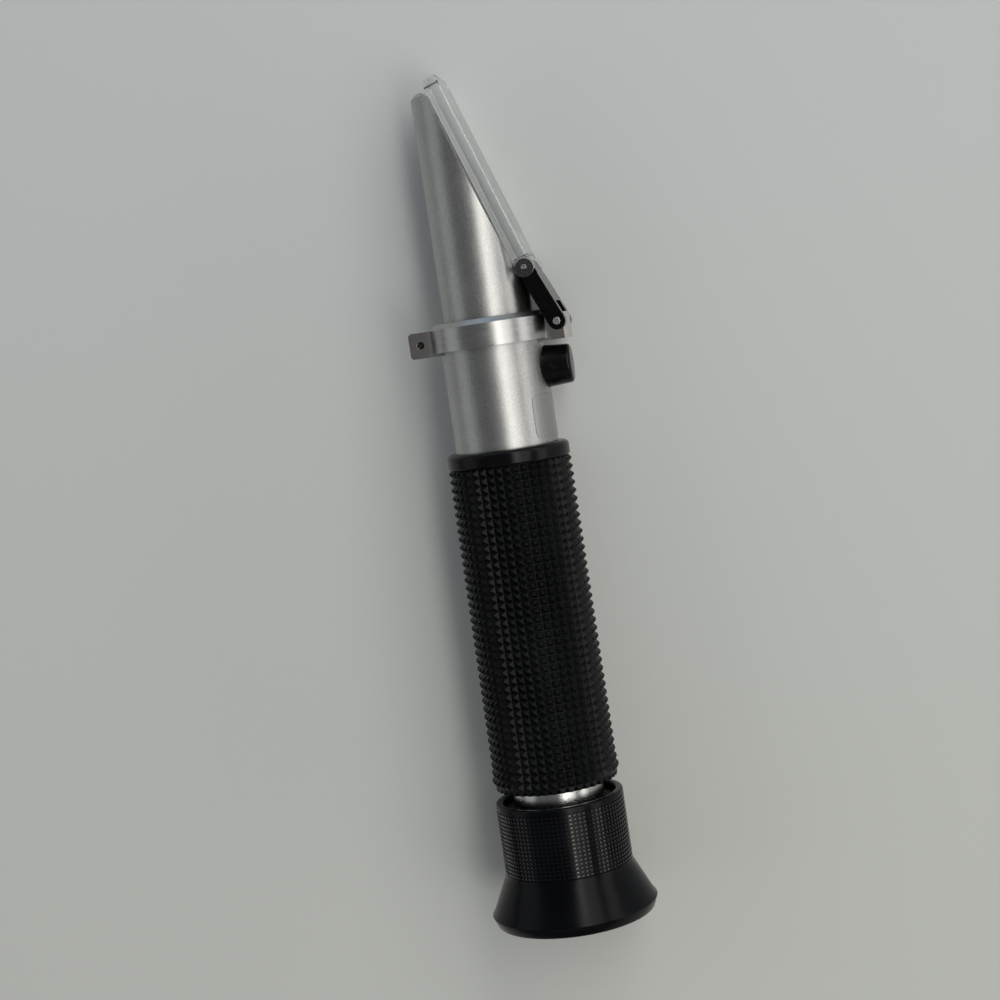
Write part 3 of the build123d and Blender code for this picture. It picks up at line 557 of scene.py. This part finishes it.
def makeGripLip():
    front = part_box("grip_sleeve")[1].x
    rear = front - grip["lipLength"]
    radius, edge, rearEdge = grip["lipRadius"], grip["lipEdge"], grip["lipRearEdge"]
    outline = [(front, grip["boreRadius"])]
    outline += arcPoints((front - edge, radius - edge), edge, 0, 90, 8)
    outline += arcPoints((rear + rearEdge, radius - rearEdge), rearEdge, 90, 180, 4)
    outline += [(rear, grip["boreRadius"])]
    shape = bmesh.new()
    spunAbout(shape, outline, grip["lipSteps"])
    lip = pieceFrom(shape, "gripLip", "cap", bodyOf["grip_sleeve"])
    slotOf(lip)
    print("grip lip made")


makeGrip()
makeGripLip()


# Rubber eyecup: grid on the collar, smooth flare. Lines hold (x, radius) in mm.

cup = {
    "cellsAround": 87,
    "rows": 16,
    "rowPitch": 0.89 * mm,
    "rimLength": 1.25 * mm,     # smooth bead in front of the grid
    "rowGap": 0.1 * mm,         # from the bead to the first row
    "flareGap": 0.15 * mm,      # from the last row to the flare
    "groove": 0.19 * mm,
    "raise": 0.22 * mm,
    "slope": 0.06 * mm,
    "collarRadius": 14.15 * mm,
    "boreRadius": 12.42 * mm,
    "rimEdge": 0.55 * mm,
    "flareX": -99.3 * mm,
    "flareLine": [(-100.3, 14.59), (-107.2, 17.85), (-107.7, 18.28), (-107.95, 18.4), (-108.2, 18.32)],
    "mouthLine": [(0.25, 17.6), (0.0, 17.35), (0.0, 16.85), (0.2, 16.55)],      # x from the rear end
    "floorLine": [(-104.0, 11.9), (-103.4, 11.2), (-103.4, 9.62), (-101.0, 9.62), (-101.0, 12.42)],
    "crease": 28,
}


def makeEyecup():
    low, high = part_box("eyecup")
    front, edge = high.x, cup["rimEdge"]
    collar, bore = cup["collarRadius"], cup["boreRadius"]
    gridX = front - cup["rimLength"]
    firstX = gridX - cup["rowGap"]
    rows = [(firstX - cup["rowPitch"] * i, collar - cup["raise"]) for i in range(cup["rows"] + 1)]
    lastX = rows[-1][0]
    outline = arcPoints((front - edge, bore + edge), edge, 270, 360, 5)
    outline += arcPoints((front - edge, collar - edge), edge, 0, 90, 5)
    outline += [(gridX, collar)] + rows + [(lastX - cup["flareGap"], collar), (cup["flareX"], collar)]
    outline += [(x * mm, radius * mm) for x, radius in cup["flareLine"]]
    outline += [(low.x + x * mm, radius * mm) for x, radius in cup["mouthLine"]]
    outline += [(x * mm, radius * mm) for x, radius in cup["floorLine"]]
    shape = bmesh.new()
    spunAbout(shape, outline, cup["cellsAround"])
    cells = [face for face in shape.faces
             if lastX < face.calc_center_median().x < firstX and farOut(face) > (bore + collar) / 2]
    bmesh.ops.inset_individual(shape, faces=cells, thickness=cup["groove"], depth=0, use_even_offset=True)
    bmesh.ops.inset_individual(shape, faces=cells, thickness=cup["slope"], depth=cup["raise"],
                               use_even_offset=True)
    piece = pieceFrom(shape, "eyecup.rubber", "eyecup", bodyOf["eyecup"], cup["crease"])
    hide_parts("eyecup")
    slotOf(piece)
    print("eyecup cells:", len(cells))


makeEyecup()


# Rubber cap over the calibration screw, hollow, with its base saddled to the barrel

cap = {
    "baseRadius": 4.65 * mm,
    "endRadius": 4.2 * mm,
    "endEdge": 0.75 * mm,
    "boreRadius": 3.06 * mm,
    "topThickness": 1.3 * mm,
    "baseY": -9.6 * mm,
    "barrelRadius": 11.26 * mm,
    "baseEdge": 0.2 * mm,
    "edgeSteps": 6,
    "sideSteps": 4,
    "steps": 72,
    "crease": 40,
    "softened": 50,     # degrees, from which an edge is softened
}


def makeCap():
    low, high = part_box("screw_cap")
    middle, end, base = (low.x + high.x) / 2, low.y, cap["baseY"]
    edge, bore, roof = cap["endEdge"], middle + cap["boreRadius"], end + cap["topThickness"]
    rim = [(middle, end)]
    rim += arcPoints((middle + cap["endRadius"] - edge, end + edge), edge, 270, 360, cap["edgeSteps"])
    for step in range(1, cap["sideSteps"] + 1):
        share = step / cap["sideSteps"]
        rim.append((middle + cap["endRadius"] + (cap["baseRadius"] - cap["endRadius"]) * share,
                    end + edge + (base - end - edge) * share))
    rim += [(bore, base), (bore, roof), (middle, roof)]
    shape = bmesh.new()
    corners = [shape.verts.new((x, y, 0)) for x, y in rim]
    edges = [shape.edges.new(pair) for pair in zip(corners, corners[1:])]
    bmesh.ops.spin(shape, geom=corners + edges, cent=(middle, 0, 0), axis=(0, 1, 0), dvec=(0, 0, 0),
                   angle=2 * math.pi, steps=cap["steps"], use_merge=True, use_duplicate=False)
    bmesh.ops.remove_doubles(shape, verts=shape.verts, dist=weld)
    for corner in shape.verts:      # the base follows the barrel
        if abs(corner.co.y - base) < weld:
            corner.co.y = -math.sqrt(cap["barrelRadius"] ** 2 - corner.co.z ** 2)
    bmesh.ops.recalc_face_normals(shape, faces=shape.faces)
    piece = pieceFrom(shape, "screwCap", "cap", bodyOf["screw_cap"], cap["crease"])
    softenEdges(piece, cap["baseEdge"], 3, cap["softened"])
    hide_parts("screw_cap")
    slotOf(piece)
    print("cap made")


makeCap()


# Clear film label on the barrel, without print

film = {
    "middleTurn": math.radians(90),     # from +Z towards -Y
    "halfTurn": math.radians(46),
    "front": 4.8 * mm,
    "rear": -4.5 * mm,
    "corner": 1.45 * mm,
    "cornerSteps": 8,
    "edge": 0.05 * mm,
    "thickness": 0.11 * mm,
    "barrelRadius": 11.2 * mm,
    "lift": 0.004 * mm,         # off the barrel
    "cuts": 48,
    "crease": 40,
    "softened": 50,
}


def makeFilm():
    radius = film["barrelRadius"] + film["lift"]
    wide = film["halfTurn"] * radius
    middle, half = (film["front"] + film["rear"]) / 2, (film["front"] - film["rear"]) / 2
    shape = bmesh.new()
    bmesh.ops.create_grid(shape, x_segments=1, y_segments=1, size=1.0)
    for corner in shape.verts:
        corner.co = Vector((middle + corner.co.x * half, corner.co.y * wide, 0))
    bmesh.ops.bevel(shape, geom=shape.verts, affect="VERTICES", offset=film["corner"],
                    segments=film["cornerSteps"], profile=0.5, material=-1)
    for cut in range(1, film["cuts"]):
        across = wide * (2 * cut / film["cuts"] - 1)
        bmesh.ops.bisect_plane(shape, geom=shape.verts[:] + shape.edges[:] + shape.faces[:],
                               dist=0.0001 * mm, plane_co=(0, across, 0), plane_no=(0, 1, 0))
    for corner in shape.verts:      # wrapped round the barrel
        turn = film["middleTurn"] + corner.co.y / radius
        corner.co = Vector((corner.co.x, -radius * math.sin(turn), radius * math.cos(turn)))
    bmesh.ops.recalc_face_normals(shape, faces=shape.faces)
    facing = sum(face.normal.dot(face.calc_center_median() * Vector((0, 1, 1))) for face in shape.faces)
    if facing < 0:
        bmesh.ops.reverse_faces(shape, faces=shape.faces)
    bmesh.ops.solidify(shape, geom=shape.faces[:], thickness=-film["thickness"])
    piece = pieceFrom(shape, "barrelFilm", "film", bodyOf["main_tube"], film["crease"])
    softenEdges(piece, film["edge"], 2, film["softened"])
    slotOf(piece)
    print("film made")


makeFilm()


# Camera, placed from how the instrument lies in the picture

view = {
    "lens": 70.18,                  # mm
    "sensor": 36,                   # mm wide
    "distance": 422.77 * mm,        # to the aim point, along the view
    "aim": Vector((4.4 * mm, 0, 0)),
    "pictureWidth": 1000,
    "aimPixel": (500.63, 400.89),   # where the aim point shows in the picture
    "tilt": math.radians(4.684),    # of the prism end towards the camera
    "turn": math.radians(8.48),     # of the axis from upright
    "roll": math.radians(8.5),      # of the instrument about its axis, hinge side up
}


def makeCamera():
    tilt, turn, roll = view["tilt"], view["turn"], view["roll"]
    # the instrument's axes in the camera's own right, up, back
    alongAxis = Vector((-math.sin(turn) * math.cos(tilt), math.cos(turn) * math.cos(tilt), math.sin(tilt)))
    outOfPicture = (Vector((0, 0, 1)) - alongAxis * alongAxis.z).normalized()
    toLeft = outOfPicture.cross(alongAxis)
    sideAxis = toLeft * math.cos(roll) - outOfPicture * math.sin(roll)
    upAxis = toLeft * math.sin(roll) + outOfPicture * math.cos(roll)
    toWorld = Matrix((alongAxis, sideAxis, upAxis))
    focalPixels = view["lens"] / view["sensor"] * view["pictureWidth"]
    deep, half = view["distance"], view["pictureWidth"] / 2
    seen = Vector(((view["aimPixel"][0] - half) / focalPixels * deep,
                   -(view["aimPixel"][1] - half) / focalPixels * deep, -deep))
    data = bpy.data.cameras.new("camera")
    data.lens = view["lens"]
    data.sensor_width = view["sensor"]
    data.clip_start = 0.01
    data.clip_end = 20
    camera = bpy.data.objects.new("camera", data)
    camera.matrix_world = Matrix.Translation(view["aim"] - toWorld @ seen) @ toWorld.to_4x4()
    bpy.context.scene.collection.objects.link(camera)
    bpy.context.scene.camera = camera
    return toWorld


cameraTurn = makeCamera()
print("camera placed")


# Floor and lamps

stageLook = {
    "rearX": -107.95 * mm, "rearRadius": 18.4 * mm,     # the eyecup's widest ring rests here
    "frontX": 21.5 * mm, "frontRadius": 13.1 * mm,      # and the clamp ring here
    "gap": 0.05 * mm,
    "size": 40.0,
    "paintedWarmLightX": -130 * mm, "paintedCoolLightX": 110 * mm,      # painted light: the floor's colour turns from warm to cool between these, for the cool light from the prism end
    "warm": (0.645, 0.655, 0.628),
    "cool": (0.645, 0.668, 0.672),
    "cloudCell": 180 * mm, "cloudDepth": 0.2,
    "roughness": 0.55, "sheenSpread": 0.1, "gloss": 0.25,
    "grainCell": 1.5 * mm, "grain": 0.02 * mm, "grainStrength": 0.4,
}


def makeFloor():
    # lies on the two widest rings under the instrument, rolled as it is in the picture
    run = stageLook["frontX"] - stageLook["rearX"]
    pitch = math.asin((stageLook["rearRadius"] - stageLook["frontRadius"]) / run)
    up = Vector((0, math.sin(view["roll"]), math.cos(view["roll"])))
    normal = (up * math.cos(pitch) - Vector((1, 0, 0)) * math.sin(pitch)).normalized()
    touch = Vector((stageLook["frontX"], 0, 0)) - normal * (stageLook["frontRadius"] + stageLook["gap"])
    shape = bmesh.new()
    bmesh.ops.create_grid(shape, x_segments=1, y_segments=1, size=stageLook["size"] / 2)
    turned = normal.to_track_quat("Z", "Y").to_matrix().to_4x4()
    bmesh.ops.transform(shape, matrix=Matrix.Translation(touch) @ turned, verts=shape.verts)
    mesh = bpy.data.meshes.new("floor")
    shape.to_mesh(mesh)
    shape.free()
    finish = Finish("floorWithPaintedLight")
    grain = finish.noise(stageLook["grainCell"], 4.0, roughness=0.6)
    cloud = finish.noise(stageLook["cloudCell"])
    # painted light: the floor is tinted cooler towards the prism end, with a random cloudy tint on top
    paintedCoolLightAndCloud = (finish.along("X").steps(stageLook["paintedWarmLightX"], stageLook["paintedCoolLightX"])
                + (cloud - 0.5) * stageLook["cloudDepth"])
    finish.surface({
        "Base Color": finish.mix(paintedCoolLightAndCloud.most(0.0).least(1.0), stageLook["warm"], stageLook["cool"]),
        "Roughness": stageLook["roughness"] + (grain - 0.5) * stageLook["sheenSpread"],
        "Specular IOR Level": stageLook["gloss"],
    })
    finish.bump(grain, stageLook["grain"], stageLook["grainStrength"])
    mesh.materials.append(finish.material)
    floor = bpy.data.objects.new("floor", mesh)
    bpy.context.scene.collection.objects.link(floor)


makeFloor()
print("floor laid")

lampCentre = Vector((-20 * mm, 0, 0))
lamps = {
    # name: (direction in the camera's right, up, back), distance, width, length, radiance, colour
    "ceiling": ((0.37, 0.2, 0.93), 2.0, 1.25, 3.6, 1.85, (1.0, 0.985, 0.93)),
    "tubeLight": ((0.21, 0.2, 0.978), 2.0, 0.3, 3.4, 2.7, (1.0, 0.985, 0.92)),
    "window": ((0.94, 0.2, 0.34), 2.0, 1.2, 4.6, 1.65, (1.0, 0.98, 0.95)),
    "wall": ((-0.985, 0.0, 0.17), 2.0, 1.2, 3.0, 0.43, (0.97, 0.99, 1.0)),
    "skyEnd": ((-0.2, 0.96, 0.26), 2.0, 2.2, 1.3, 0.82, (0.55, 0.76, 1.0)),
    "roomEnd": ((0.12, -0.9, 0.55), 2.0, 2.2, 1.0, 0.17, (1.0, 0.97, 0.92)),
}
room = {"shade": (0.95, 0.98, 1.0), "strength": 0.155}


def makeLamps():
    # soft boxes, each with its length along the instrument
    for name, (direction, distance, width, length, radiance, colour) in lamps.items():
        data = bpy.data.lights.new(name, "AREA")
        data.shape = "RECTANGLE"
        data.size, data.size_y = width, length
        data.energy = radiance * math.pi * width * length
        data.color = colour
        lamp = bpy.data.objects.new(name, data)
        back = (cameraTurn @ Vector(direction)).normalized()
        lengthways = (Vector((1, 0, 0)) - back * back.x).normalized()
        turned = Matrix((lengthways.cross(back), lengthways, back)).transposed()
        lamp.matrix_world = Matrix.Translation(lampCentre + back * distance) @ turned.to_4x4()
        bpy.context.scene.collection.objects.link(lamp)


def makeWorld():
    world = bpy.data.worlds.new("room")
    bpy.context.scene.world = world
    world.use_nodes = True
    background = world.node_tree.nodes["Background"]
    background.inputs["Color"].default_value = (*room["shade"], 1.0)
    background.inputs["Strength"].default_value = room["strength"]


makeLamps()
makeWorld()
bpy.context.scene.view_settings.view_transform = "Standard"
print("lamps placed:", len(lamps))
